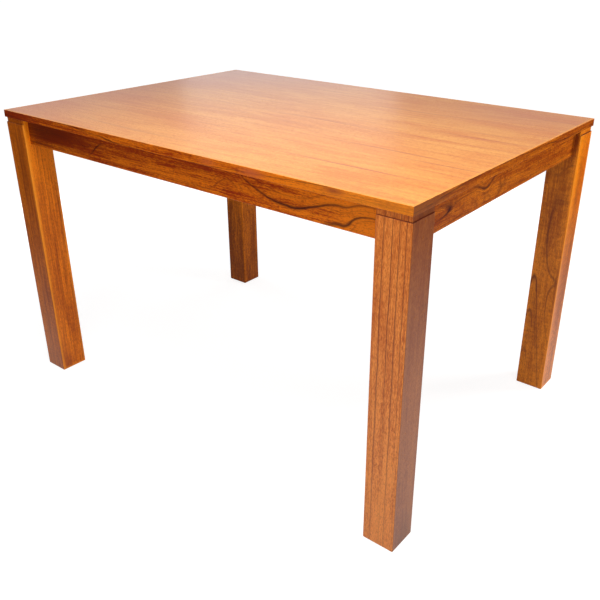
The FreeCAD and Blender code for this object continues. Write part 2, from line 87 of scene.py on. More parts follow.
class Graph:
    """A node tree with short calls for the nodes that the materials use."""

    def __init__(self, tree):
        self.tree = tree

    def add(self, kind, **settings):
        node = self.tree.nodes.new(kind)
        for name, setting in settings.items():
            setattr(node, name, setting)
        return node

    def feed(self, socket, source):
        """Links the socket to another one, or sets it to a plain value."""
        if isinstance(source, bpy.types.NodeSocket):
            self.tree.links.new(source, socket)
        else:
            socket.default_value = source

    def math(self, operation, *sources):
        node = self.add("ShaderNodeMath", operation=operation)
        for socket, source in zip(node.inputs, sources):
            self.feed(socket, source)
        return node.outputs[0]

    def vector(self, operation, *sources):
        node = self.add("ShaderNodeVectorMath", operation=operation)
        for socket, source in zip(node.inputs, sources):
            self.feed(socket, source)
        gives_number = operation in ("LENGTH", "DISTANCE", "DOT_PRODUCT")
        return node.outputs["Value" if gives_number else "Vector"]

    def scale(self, source, factor):
        node = self.add("ShaderNodeVectorMath", operation="SCALE")
        self.feed(node.inputs[0], source)
        self.feed(node.inputs["Scale"], factor)
        return node.outputs["Vector"]

    def split(self, source):
        node = self.add("ShaderNodeSeparateXYZ")
        self.feed(node.inputs[0], source)
        return node.outputs

    def join(self, x, y, z):
        node = self.add("ShaderNodeCombineXYZ")
        for socket, source in zip(node.inputs, (x, y, z)):
            self.feed(socket, source)
        return node.outputs[0]

    def grey(self, level):
        return self.join(level, level, level)

    def faces(self, coordinates, direction, low=0.5, high=0.9):
        """1 where the surface looks in the direction, 0 where it looks elsewhere."""
        turned = self.vector("DOT_PRODUCT", coordinates["Normal"], tuple(direction))
        return self.ramp(turned, low, high)

    def bump(self, shader, height, strength, distance):
        node = self.add("ShaderNodeBump")
        node.inputs["Strength"].default_value = strength
        node.inputs["Distance"].default_value = distance
        self.feed(node.inputs["Height"], height)
        self.feed(shader.inputs["Normal"], node.outputs[0])

    def noise(self, place, frequency, detail=2.0, roughness=0.5):
        """Noise node whose grain is as fine as frequency says, per metre, along x, y and z."""
        node = self.add("ShaderNodeTexNoise", noise_dimensions="3D")
        self.feed(node.inputs["Vector"], self.vector("MULTIPLY", place, frequency))
        node.inputs["Scale"].default_value = 1.0
        node.inputs["Detail"].default_value = detail
        node.inputs["Roughness"].default_value = roughness
        return node

    def noise_1d(self, source, frequency):
        node = self.add("ShaderNodeTexNoise", noise_dimensions="1D")
        self.feed(node.inputs["W"], source)
        node.inputs["Scale"].default_value = frequency
        return node.outputs["Fac"]

    def ramp(self, source, low, high, to_low=0.0, to_high=1.0, smooth=True):
        """Maps low..high to to_low..to_high, held at both ends."""
        node = self.add(
            "ShaderNodeMapRange", interpolation_type="SMOOTHSTEP" if smooth else "LINEAR"
        )
        for socket, value in zip(node.inputs, (source, low, high, to_low, to_high)):
            self.feed(socket, value)
        return node.outputs[0]

    def mix(self, factor, first, second, blend="MIX"):
        node = self.add("ShaderNodeMix", data_type="RGBA", blend_type=blend)
        self.feed(node.inputs["Factor"], factor)
        colours = [socket for socket in node.inputs if socket.type == "RGBA"]
        self.feed(colours[0], first)
        self.feed(colours[1], second)
        return next(socket for socket in node.outputs if socket.type == "RGBA")


# ---- wood ----

MIDDLE_GREY = (0.5, 0.5, 0.5)

# How fine each field of the wood is, per metre: twice across the grain, then along it.
DRIFT_GRAIN = (7, 7, 1.1)
SHAKE_GRAIN = (45, 45, 18)
BREAK_GRAIN = (120, 120, 30)
CLOUD_GRAIN = (16, 16, 3.5)
BAND_GRAIN = (90, 90, 5)
STREAK_GRAIN = (300, 300, 9)
FIBRE_GRAIN = (680, 680, 110)
RIPPLE_GRAIN = (50, 50, 130)
PORE_GRAIN = (600, 600, 170)

# How much each field weighs in the tone before the piece's own strengths.
BAND_WEIGHT = 2.5
STREAK_WEIGHT = 3.2
FIBRE_WEIGHT = 3.2
CLOUD_SPAN = 0.35
TONE_OVERSHOOT = 0.2

# Rings: their quick shake in metres, how uneven the years are, the darkening before each late
# line, and the faint rings within a year.
SHAKE = 0.0035
YEAR_UNEVENNESS = 0.8
LATE_WOOD = 0.25
SUB_RINGS = 4.0
SUB_RING_STRENGTH = 0.2

LACQUER_ROUGHNESS = 0.24
WOOD_BUMP = (0.35, 0.0002)


def make_wood_group():
    """Solid wood: growth rings about a pith that runs along z, fibres, pores and slow tone."""
    tree = bpy.data.node_groups.new("solid_wood", "ShaderNodeTree")
    for name in ("Place", "Pith"):
        tree.interface.new_socket(name, in_out="INPUT", socket_type="NodeSocketVector")
    for name in ("Figure", "Ring width", "Line share", "Wander", "Ring strength", "Cloud strength",
                 "Streak strength", "Fibre strength", "Pore strength", "Ripple strength", "Tone"):
        tree.interface.new_socket(name, in_out="INPUT", socket_type="NodeSocketFloat")
    for name in ("Light", "Dark", "Line"):
        tree.interface.new_socket(name, in_out="INPUT", socket_type="NodeSocketColor")
    tree.interface.new_socket("Color", in_out="OUTPUT", socket_type="NodeSocketColor")
    for name in ("Roughness", "Height", "Rings"):
        tree.interface.new_socket(name, in_out="OUTPUT", socket_type="NodeSocketFloat")
    graph = Graph(tree)
    given = graph.add("NodeGroupInput").outputs
    place = given["Place"]

    # the trunk is not straight: its rings drift slowly along the grain and shake a little
    slow = graph.noise(place, DRIFT_GRAIN, detail=1.0)
    drift = graph.vector("SUBTRACT", slow.outputs["Color"], MIDDLE_GREY)
    drift = graph.scale(drift, given["Wander"])
    quick = graph.noise(place, SHAKE_GRAIN)
    shake = graph.scale(graph.vector("SUBTRACT", quick.outputs["Color"], MIDDLE_GREY), SHAKE)
    bent = graph.vector("ADD", graph.vector("ADD", place, drift), shake)
    from_pith = graph.split(graph.vector("SUBTRACT", bent, given["Pith"]))
    radius = graph.vector("LENGTH", graph.join(from_pith[0], from_pith[1], 0.0))
    even_rings = graph.math("DIVIDE", radius, given["Ring width"])
    even_rings = graph.math("ADD", even_rings, given["Figure"])
    uneven = graph.math("MULTIPLY", graph.noise_1d(even_rings, 0.9), YEAR_UNEVENNESS)
    rings = graph.math("ADD", even_rings, uneven)

    # each ring ends in a fine late line, and some years are darker than others
    within = graph.math("FRACT", rings)
    year = graph.add("ShaderNodeTexWhiteNoise", noise_dimensions="1D")
    graph.feed(year.inputs["W"], graph.math("FLOOR", rings))
    before_end = graph.math("DIVIDE", graph.math("SUBTRACT", 1.0, within), given["Line share"])
    line = graph.math("MULTIPLY", graph.ramp(before_end, 0.3, 1.0, 1.0, 0.0),
                      graph.ramp(before_end, 0.0, 0.2))
    late = graph.math("MULTIPLY", graph.math("POWER", within, 3.0), LATE_WOOD)
    year_strength = graph.ramp(year.outputs["Value"], 0.05, 1.0, 0.3, 1.0, smooth=False)
    ring_line = graph.math("MULTIPLY", graph.math("ADD", line, late), year_strength)
    within_sub_ring = graph.math("FRACT", graph.math("MULTIPLY", rings, SUB_RINGS))
    sub_line = graph.math("MULTIPLY", graph.ramp(within_sub_ring, 0.6, 0.95), SUB_RING_STRENGTH)
    ring_line = graph.math("ADD", ring_line, sub_line)
    broken = graph.noise(bent, BREAK_GRAIN).outputs["Fac"]
    ring_line = graph.math("MULTIPLY", ring_line, graph.ramp(broken, 0.3, 0.6, 0.45, 1.0))
    ring_line = graph.math("MULTIPLY", ring_line, given["Ring strength"])

    # slow clouds, long streaks, short fibres, cross ripple and pores
    cloud = graph.noise(place, CLOUD_GRAIN, detail=3.0, roughness=0.6).outputs["Fac"]
    band = graph.noise(bent, BAND_GRAIN).outputs["Fac"]
    streak = graph.noise(bent, STREAK_GRAIN, detail=3.0, roughness=0.62).outputs["Fac"]
    fibre = graph.noise(bent, FIBRE_GRAIN, detail=3.0, roughness=0.65).outputs["Fac"]
    ripple = graph.noise(bent, RIPPLE_GRAIN).outputs["Fac"]
    pore_field = graph.noise(bent, PORE_GRAIN, detail=1.0).outputs["Fac"]
    pores = graph.math("MULTIPLY", graph.ramp(pore_field, 0.57, 0.68), given["Pore strength"])

    clouds = graph.ramp(cloud, 0.3, 0.7, -CLOUD_SPAN, CLOUD_SPAN, smooth=False)
    clouds = graph.math("MULTIPLY", clouds, given["Cloud strength"])
    streaks = graph.math("MULTIPLY", streak, STREAK_WEIGHT)
    streaks = graph.math("MULTIPLY_ADD", band, BAND_WEIGHT, streaks)
    streaks = graph.math("SUBTRACT", streaks, (BAND_WEIGHT + STREAK_WEIGHT) / 2)
    streaks = graph.math("MULTIPLY", streaks, given["Streak strength"])
    fibres = graph.math("MULTIPLY", graph.math("SUBTRACT", fibre, 0.5), given["Fibre strength"])
    ripples = graph.math("MULTIPLY", graph.math("SUBTRACT", ripple, 0.5), given["Ripple strength"])
    darkness = graph.math("ADD", given["Tone"], clouds)
    darkness = graph.math("ADD", darkness, streaks)
    darkness = graph.math("MULTIPLY_ADD", fibres, FIBRE_WEIGHT, darkness)
    darkness = graph.math("ADD", darkness, ripples)
    least, most = -TONE_OVERSHOOT, 1 + TONE_OVERSHOOT
    darkness = graph.ramp(darkness, least, most, least, most, smooth=False)
    colour = graph.mix(darkness, given["Light"], given["Dark"])
    colour = graph.mix(graph.ramp(ring_line, 0.0, 1.0, smooth=False), colour, given["Line"])
    colour = graph.mix(pores, colour, given["Line"])

    roughness = graph.math("ADD", LACQUER_ROUGHNESS, graph.math("MULTIPLY", fibre, 0.1))
    roughness = graph.math("ADD", roughness, graph.math("MULTIPLY", pores, 0.2))
    height = graph.math("SUBTRACT", graph.math("MULTIPLY", fibre, 0.35), pores)
    made = graph.add("NodeGroupOutput").inputs
    graph.feed(made["Color"], colour)
    graph.feed(made["Roughness"], roughness)
    graph.feed(made["Height"], height)
    graph.feed(made["Rings"], even_rings)
    return tree


WOOD_GROUP = make_wood_group()


def new_material(name):
    material = bpy.data.materials.new(name)
    material.use_nodes = True
    graph = Graph(material.node_tree)
    shader = material.node_tree.nodes["Principled BSDF"]
    return material, graph, shader


def middle_and_half(node):
    low, high = (Vector(corner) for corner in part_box(node))
    return (low + high) / 2, (high - low) / 2


def local_place(graph, coordinates, node, across, through):
    """Place in the piece's own frame: from its middle, with z along the grain."""
    mapping = graph.add("ShaderNodeMapping", vector_type="TEXTURE")
    graph.feed(mapping.inputs["Vector"], coordinates["Object"])
    along = across.cross(through)
    mapping.inputs["Location"].default_value = middle_and_half(node)[0]
    turn = Matrix((across, through, along)).transposed()
    mapping.inputs["Rotation"].default_value = turn.to_euler()
    return mapping.outputs[0]


def edge_distance(graph, place, node):
    """Distance to the nearest edge of the node's box, on the node's outer faces."""
    middle, half = middle_and_half(node)
    inward = graph.vector("ABSOLUTE", graph.vector("SUBTRACT", place, tuple(middle)))
    depths = graph.split(graph.vector("SUBTRACT", tuple(half), inward))
    total = graph.math("ADD", graph.math("ADD", depths[0], depths[1]), depths[2])
    longest = graph.math("MAXIMUM", graph.math("MAXIMUM", depths[0], depths[1]), depths[2])
    return graph.math("SUBTRACT", total, longest)


def swells(graph, place, spots, base):
    """A base value with smooth swells: each spot has a height, a middle and a reach."""
    total = base
    for height, middle, reach in spots:
        away = graph.vector("DIVIDE", graph.vector("SUBTRACT", place, middle), reach)
        distance = graph.vector("DOT_PRODUCT", away, away)
        swell = graph.math("EXPONENT", graph.math("MULTIPLY", distance, -1.0))
        total = graph.math("MULTIPLY_ADD", swell, height, total)
    return total


# Everything that one piece's wood can change, in the piece's own frame of local_place. A spot is
# the height, the middle and the reach of one of swells.
WOOD_DEFAULTS = {
    # rings: where the pith runs, a ring's width, the share of it that is late line, rings gained
    # per metre along the grain, and metres of drift
    "pith": (0.0, 0.09),
    "ring_width": 0.0045,
    "line_share": 0.2,
    "taper": 0.0,
    "wander": 0.02,
    # strengths
    "rings": 0.9,
    "clouds": 1.0,
    "streaks": 1.0,
    "fibres": 1.0,
    "pores": 0.4,
    "ripple": 0.6,
    "end_grain": 0.6,
    # tone from the palette's light colour at 0 to its dark one at 1
    "tone": 0.5,
    # spots that push the rings aside, strengthen them, and darken or lighten the wood, by its own
    # tone and as painted light and shade
    "figures": (),
    "ring_spots": (),
    "tone_and_painted_light_spots": (),
    # dark lines along one ring each, and their usual width in rings
    "flames": (),
    "flame_width": 0.12,
    # painted light and shade on the faces that look one way, and patches of another colour, partly
    # the wood's own and partly painted sheen, highlight and shade
    "face_light_and_shade": (),
    "faded": (),
    # lighter arrises, partly sanded wear and partly painted highlight: strength, width, colour
    # where it isn't the wood's own, and the one side
    "edge_wear_and_highlight": 0.35,
    "edge_reach": 0.0022,
    "edge_colour": None,
    "edge_side": None,
    "specular": 0.5,
    # function that changes the colour and the roughness last
    "extra": None,
}
ARRIS = 0.0004
SEED_STEP = (1.37, 2.11, 3.7)


def ring_number(look, point):
    """Ring that passes through a place of the piece's own frame, before its wood wanders."""
    x, y, z = point
    rings = math.dist((x, y), look["pith"]) / look["ring_width"] + look["taper"] * z
    for height, middle, reach in look["figures"]:
        away = sum(((a - b) / c) ** 2 for a, b, c in zip(point, middle, reach))
        rings += height * math.exp(-away)
    return rings


def add_flames(graph, colour, rings, local, look, line):
    """Dark lines that follow one ring each: a place on it, strength, reach and its own width."""
    for point, strength, reach, *width in look["flames"]:
        off = graph.math("SUBTRACT", rings, ring_number(look, point))
        off = graph.math("DIVIDE", off, width[0] if width else look["flame_width"])
        square = graph.math("MULTIPLY", off, off)
        here = graph.math("EXPONENT", graph.math("MULTIPLY", square, -1.0))
        share = graph.math("MULTIPLY", here, swells(graph, local, ((strength, point, reach),), 0.0))
        colour = graph.mix(share, colour, line)
    return colour


def grow_wood(graph, look, local, seed, palette):
    """The piece's own cut of the shared solid wood."""
    light, dark, line = palette
    shift = tuple(seed * step for step in SEED_STEP)
    figure = swells(graph, local, look["figures"], 0.0)
    along_grain = graph.split(local)[2]
    values = {
        "Place": graph.vector("ADD", local, shift),
        "Pith": (look["pith"][0] + shift[0], look["pith"][1] + shift[1], 0.0),
        "Figure": graph.math("MULTIPLY_ADD", along_grain, look["taper"], figure),
        "Ring width": look["ring_width"],
        "Line share": look["line_share"],
        "Wander": look["wander"],
        "Ring strength": swells(graph, local, look["ring_spots"], look["rings"]),
        "Cloud strength": look["clouds"],
        "Streak strength": look["streaks"],
        "Fibre strength": look["fibres"],
        "Pore strength": look["pores"],
        "Ripple strength": look["ripple"],
        "Tone": swells(graph, local, look["tone_and_painted_light_spots"], look["tone"]),
        "Light": light,
        "Dark": dark,
        "Line": line,
    }
    wood = graph.add("ShaderNodeGroup", node_tree=WOOD_GROUP)
    for socket, source in values.items():
        graph.feed(wood.inputs[socket], source)
    return wood.outputs


def wear_and_highlight_edges(graph, colour, coordinates, node, look, light):
    """Lighter arrises, partly sanded wear and partly painted highlight, on all sides of the piece
    or on one.
    """
    from_edge = edge_distance(graph, coordinates["Object"], node)
    worn = graph.ramp(from_edge, ARRIS, look["edge_reach"], look["edge_wear_and_highlight"], 0.0)
    if look["edge_side"]:
        worn = graph.math("MULTIPLY", worn, graph.faces(coordinates, look["edge_side"], 0.3, 0.7))
    return graph.mix(worn, colour, look["edge_colour"] or light)


def wood_material(name, node, across, through, seed, palette, **changes):
    """Finished wood of one piece. Its faces may differ in tone by painted light and shade."""
    look = {**WOOD_DEFAULTS, **changes}
    light, _, line = palette
    material, graph, shader = new_material(name)
    coordinates = graph.add("ShaderNodeTexCoord").outputs
    local = local_place(graph, coordinates, node, across, through)
    wood = grow_wood(graph, look, local, seed, palette)

    colour = add_flames(graph, wood["Color"], wood["Rings"], local, look, line)
    # patches of another colour: some are the wood's own, many are painted sheen, highlight,
    # reflection and shade
    for pale, spots in look["faded"]:
        colour = graph.mix(swells(graph, local, spots, 0.0), colour, pale)
    # painted light and shade: the faces that look one way made lighter or darker
    for direction, tint in look["face_light_and_shade"]:
        tinted = graph.mix(1.0, colour, tint + (1.0,), blend="MULTIPLY")
        colour = graph.mix(graph.faces(coordinates, direction), colour, tinted)
    along = across.cross(through)
    end_on = graph.vector("DOT_PRODUCT", coordinates["Normal"], tuple(along))
    end_on = graph.math("ABSOLUTE", end_on)
    colour = graph.mix(graph.ramp(end_on, 0.55, 0.95, 0.0, look["end_grain"]), colour, line)
    colour = wear_and_highlight_edges(graph, colour, coordinates, node, look, light)
    roughness = wood["Roughness"]
    if look["extra"]:
        colour, roughness = look["extra"](graph, coordinates, colour, roughness, line)
    graph.feed(shader.inputs["Base Color"], colour)
    graph.feed(shader.inputs["Roughness"], roughness)
    shader.inputs["Specular IOR Level"].default_value = look["specular"]
    graph.bump(shader, wood["Height"], *WOOD_BUMP)
    return material


def dress(node_name, material):
    """Gives every slot of a CAD node the material."""
    slots = NODES[node_name].material_slots
    if not slots:
        NODES[node_name].data.materials.append(material)
    for slot in slots:
        slot.material = material


# Palettes: light wood, dark wood, and the late line of a ring.
TOP_WOOD = (linear(246, 170, 82), linear(226, 132, 56), linear(188, 86, 58))
RAIL_WOOD = (linear(222, 112, 13), linear(149, 47, 5), linear(56, 8, 12))
BROWN_RAIL_WOOD = (linear(216, 117, 22), linear(146, 56, 11), linear(58, 14, 20))
LEG_WOOD = (linear(230, 138, 60), linear(180, 88, 30), linear(104, 42, 26))
GOLD_LEG_WOOD = (linear(224, 116, 16), linear(158, 68, 8), linear(80, 28, 10))
OLIVE_LEG_WOOD = (linear(220, 126, 32), linear(158, 79, 20), linear(84, 34, 24))
BROWN_LEG_WOOD = (linear(216, 116, 16), linear(136, 62, 6), linear(70, 28, 6))
# painted highlight along the lit arrises of the right faces of two legs
GOLD_ARRIS_HIGHLIGHT = linear(246, 150, 40)
BACKING_WOOD = (linear(214, 156, 98), linear(186, 124, 70), linear(130, 76, 40))
BLOCK_WOOD = (linear(222, 186, 136), linear(200, 158, 106), linear(150, 108, 66))
BOARD_FIBRE = (linear(196, 160, 120), linear(176, 138, 98), linear(120, 90, 60))

# side, direction up the face, direction through the board
SIDE_FRAMES = (
    ("front", UP, BACK),
    ("back", UP, BACK),
    ("left", UP, RIGHT),
    ("right", UP, RIGHT),
)


def veneered_face(graph, coordinates, colour, roughness, line):
    """Extra for a lipping: its top face matches the veneer beside it."""
    light, dark, _ = TOP_WOOD
    veneer = graph.mix(0.4, light, dark)
    return graph.mix(graph.faces(coordinates, UP), colour, veneer), roughness


def dress_face_veneer():
    dress("face_veneer", wood_material(
        "top_veneer", "face_veneer", BACK, UP, 1.0, TOP_WOOD,
        pith=(-0.9, -0.35), ring_width=0.022, line_share=0.25, wander=0.09, rings=0.3,
        clouds=1.2, streaks=0.65, pores=0.35, ripple=0.5, flame_width=0.16,
        flames=(
            ((-0.297, 0, 0.38), 0.7, (1, 1, 0.16)),
            ((-0.128, 0, 0.41), 0.6, (1, 1, 0.12)),
            ((-0.165, 0, 0.53), 0.7, (1, 1, 0.10)),
            ((0.048, 0, 0.488), 0.7, (1, 1, 0.12)),
            ((0.10, 0, 0.51), 0.5, (1, 1, 0.10)),
            ((0.324, 0, 0.547), 0.6, (1, 1, 0.10)),
            ((0.22, 0, 0.25), 0.5, (1, 1, 0.16)),
            ((-0.02, 0, 0.1), 0.5, (1, 1, 0.2)),
            ((-0.36, 0, -0.2), 0.4, (1, 1, 0.2)),
        ),
        faded=(
            # painted sheen and shade: pinker patches at the back right and towards the back left
            (linear(196, 124, 104), ((0.45, (0.36, 0, 0.46), (0.16, 1, 0.22)),)),
            (linear(208, 126, 118), (
                (0.35, (0, 0, -0.62), (1, 1, 0.22)),
                (0.38, (0.42, 0, -0.40), (0.2, 1, 0.35)),
            )),
        ),
    ))


# What all lippings and aprons share, what each kind adds, and what each side changes.
SHARED_LOOK = {"palette": RAIL_WOOD, "ring_width": 0.006, "wander": 0.03, "specular": 0.2}
LIPPING_LOOK = {
    "pith": (0.1, 0.25), "clouds": 1.2, "streaks": 0.9, "fibres": 0.8, "tone": 0.34,
    "edge_wear_and_highlight": 0.1, "extra": veneered_face,
}
APRON_LOOK = {"clouds": 1.4, "streaks": 0.75, "fibres": 0.75, "tone": 0.45}
LIPPING_CHANGES = {
    "front": {
        "pith": (-0.10, 0.25),
        "flames": (((0.0, -0.006, -0.46), 0.9, (0.1, 1, 0.06), 0.3),),
        "faded": (
            # painted sheen at the right end, then pink and dark patches of the wood's own
            (linear(224, 142, 46), ((0.4, (0, 0, -0.58), (1, 1, 0.2)),)),
            (linear(186, 88, 48), (
                (0.6, (0.001, 0, -0.13), (0.008, 1, 0.022)),
                (0.8, (0.0, 0, -0.25), (0.010, 1, 0.03)),
            )),
            (linear(116, 46, 36), ((0.7, (0.003, 0, -0.445), (0.006, 1, 0.022)),)),
        ),
        "tone_and_painted_light_spots": (
            (1.5, (0, 0, 0.60), (1, 1, 0.14)),
            (0.15, (0, 0, 0.05), (1, 1, 0.2)),
            (-0.2, (0, 0, 0.24), (1, 1, 0.08)),
            (0.3, (-0.004, 0, -0.21), (0.006, 1, 0.05)),
            (-0.35, (0, 0, -0.42), (1, 1, 0.22)),
        ),
    },
    "right": {
        "pith": (-0.12, 0.25),
        "palette": BROWN_RAIL_WOOD,
        "clouds": 0.7,
        "streaks": 0.6,
        "fibres": 0.6,
        "tone_and_painted_light_spots": (
            (0.45, (0, 0, 0.42), (1, 1, 0.2)),
            (0.55, (0, 0, -0.40), (1, 1, 0.15)),
            (0.2, (0, 0, -0.2), (1, 1, 0.1)),
        ),
        # painted sheen: a greyer patch at the front end
        "faded": ((linear(134, 84, 48), ((0.6, (0, 0, -0.42), (1, 1, 0.13)),)),),
    },
}
APRON_CHANGES = {
    "front": {
        "pith": (-0.11, 0.30),
        "wander": 0.005,
        "figures": (
            (2.2, (0, 0, -0.325), (0.3, 0.3, 0.105)),
            (-1.5, (-0.012, 0, -0.525), (0.02, 0.3, 0.05)),
            (0.4, (0.012, 0, -0.462), (0.3, 0.3, 0.018)),
            (-2.0, (0, 0, -0.172), (0.3, 0.3, 0.035)),
            (2.6, (0, 0, 0.30), (0.3, 0.3, 0.05)),
        ),
        "flames": (
            ((-0.0098, -0.01, -0.36), 1.0, (0.1, 1, 0.22), 0.16),
            ((-0.0105, -0.01, -0.473), 1.0, (0.1, 1, 0.09), 0.17),
            ((0.0035, -0.01, 0.257), 0.9, (0.1, 1, 0.025)),
        ),
        "ring_spots": (
            (-0.65, (0, 0, 0.1), (1, 1, 0.35)),
            (-0.4, (0, 0, -0.4), (1, 1, 0.15)),
        ),
        "tone_and_painted_light_spots": (
            (0.25, (0, 0, 0.54), (1, 1, 0.1)),
            # painted shadow under the top along the upper edge
            (0.4, (0.02, 0, 0.36), (0.022, 1, 0.26)),
            (0.15, (-0.01, 0, 0.36), (0.03, 1, 0.2)),
            (0.2, (0, 0, 0.07), (1, 1, 0.07)),
            # painted shadow under the top along the upper edge
            (0.4, (0.03, 0, -0.05), (0.016, 1, 0.14)),
            (-0.65, (0, 0, -0.55), (1, 1, 0.14)),
            # painted shadow under the top along the upper edge
            (0.6, (0.034, 0, -0.2), (0.014, 1, 0.35)),
            (-0.4, (-0.025, 0, -0.14), (0.018, 1, 0.14)),
        ),
        "streaks": 0.9,
        "fibres": 0.95,
        "faded": (
            # painted sheen at the right end, and painted shadow under the top at the upper left
            (linear(218, 138, 52), ((0.1, (0, 0, -0.52), (1, 1, 0.15)),)),
            (linear(72, 20, 6), ((0.6, (0.012, 0, 0.46), (0.03, 1, 0.17)),)),
        ),
    },
    "right": {
        "palette": BROWN_RAIL_WOOD,
        "pith": (-0.11, 0.30),
        "wander": 0.006,
        "tone": 0.35,
        "clouds": 0.6,
        "streaks": 0.55,
        "rings": 0.55,
        "figures": (
            (1.1, (0.012, 0, -0.126), (0.022, 0.3, 0.034)),
            (-1.6, (0.012, 0, -0.052), (0.014, 0.3, 0.014)),
            (2.0, (-0.026, 0, -0.115), (0.018, 0.3, 0.048)),
            (4.2, (-0.003, 0, -0.350), (0.012, 0.3, 0.07)),
        ),
        "flames": (
            ((0.0055, 0.01, -0.126), 0.85, (0.1, 1, 0.06), 0.2),
            ((-0.008, 0.01, -0.058), 0.55, (0.03, 1, 0.025), 0.16),
            ((-0.0015, 0.01, -0.275), 1.0, (0.016, 1, 0.06), 0.35),
        ),
        "tone_and_painted_light_spots": ((0.25, (0, 0, -0.34), (1, 1, 0.1)), (0.2, (0, 0, 0.3), (1, 1, 0.2))),
    },
}


def dress_sides(kind, first_seed, kind_look, changes):
    """Dresses the four lippings or the four aprons."""
    for seed, (side, across, through) in enumerate(SIDE_FRAMES, start=first_seed):
        node = f"{kind}_{side}"
        look = {**SHARED_LOOK, **kind_look, **changes.get(side, {})}
        dress(node, wood_material(f"{node}_wood", node, across, through, seed, **look))


# Rebate under the top, and the painted shade in it: the height of the painted shadow line at its
# foot, the softness of its edges, and the tint of the shaded neck.
GAP_HEIGHT = 0.012
GAP_SHADOW_LINE = 0.0016
GAP_EDGE = 0.0002
GAP_SHADE_TINT = (0.93, 0.88, 0.83, 1.0)


def painted_gap_shade(outward, depth):
    """Extra for a leg: painted shade in the rebate under the top, with a painted shadow line at its
    ledge; the up-facing ledge is end grain that takes more stain, and is darkened further as
    painted shade.
    """
    ledge_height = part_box("leg_front_left")[1][2] - GAP_HEIGHT

    def add(graph, coordinates, colour, roughness, line):
        height = graph.split(coordinates["Object"])[2]
        neck = graph.ramp(height, ledge_height - GAP_EDGE, ledge_height + GAP_EDGE)
        shadow_line = graph.ramp(height, ledge_height, ledge_height + GAP_SHADOW_LINE, 0.9 * depth, 0.0)
        # the ledge: end grain that takes more stain, and painted shade under the top
        ledge = graph.faces(coordinates, UP, 0.4, 0.8)
        colour = graph.mix(graph.math("MULTIPLY", ledge, depth), colour, line)
        roughness = graph.math("ADD", roughness, graph.math("MULTIPLY", ledge, 0.6))
        outer = graph.math("MAXIMUM", *[graph.faces(coordinates, way) for way in outward])
        outer_neck = graph.math("MULTIPLY", neck, outer)
        # painted shade on the outer faces of the neck, under the top
        darker = graph.mix(1.0, colour, GAP_SHADE_TINT, blend="MULTIPLY")
        colour = graph.mix(outer_neck, colour, darker)
        # painted shadow line along the foot of the neck
        return graph.mix(graph.math("MULTIPLY", shadow_line, outer_neck), colour, line), roughness
    return add
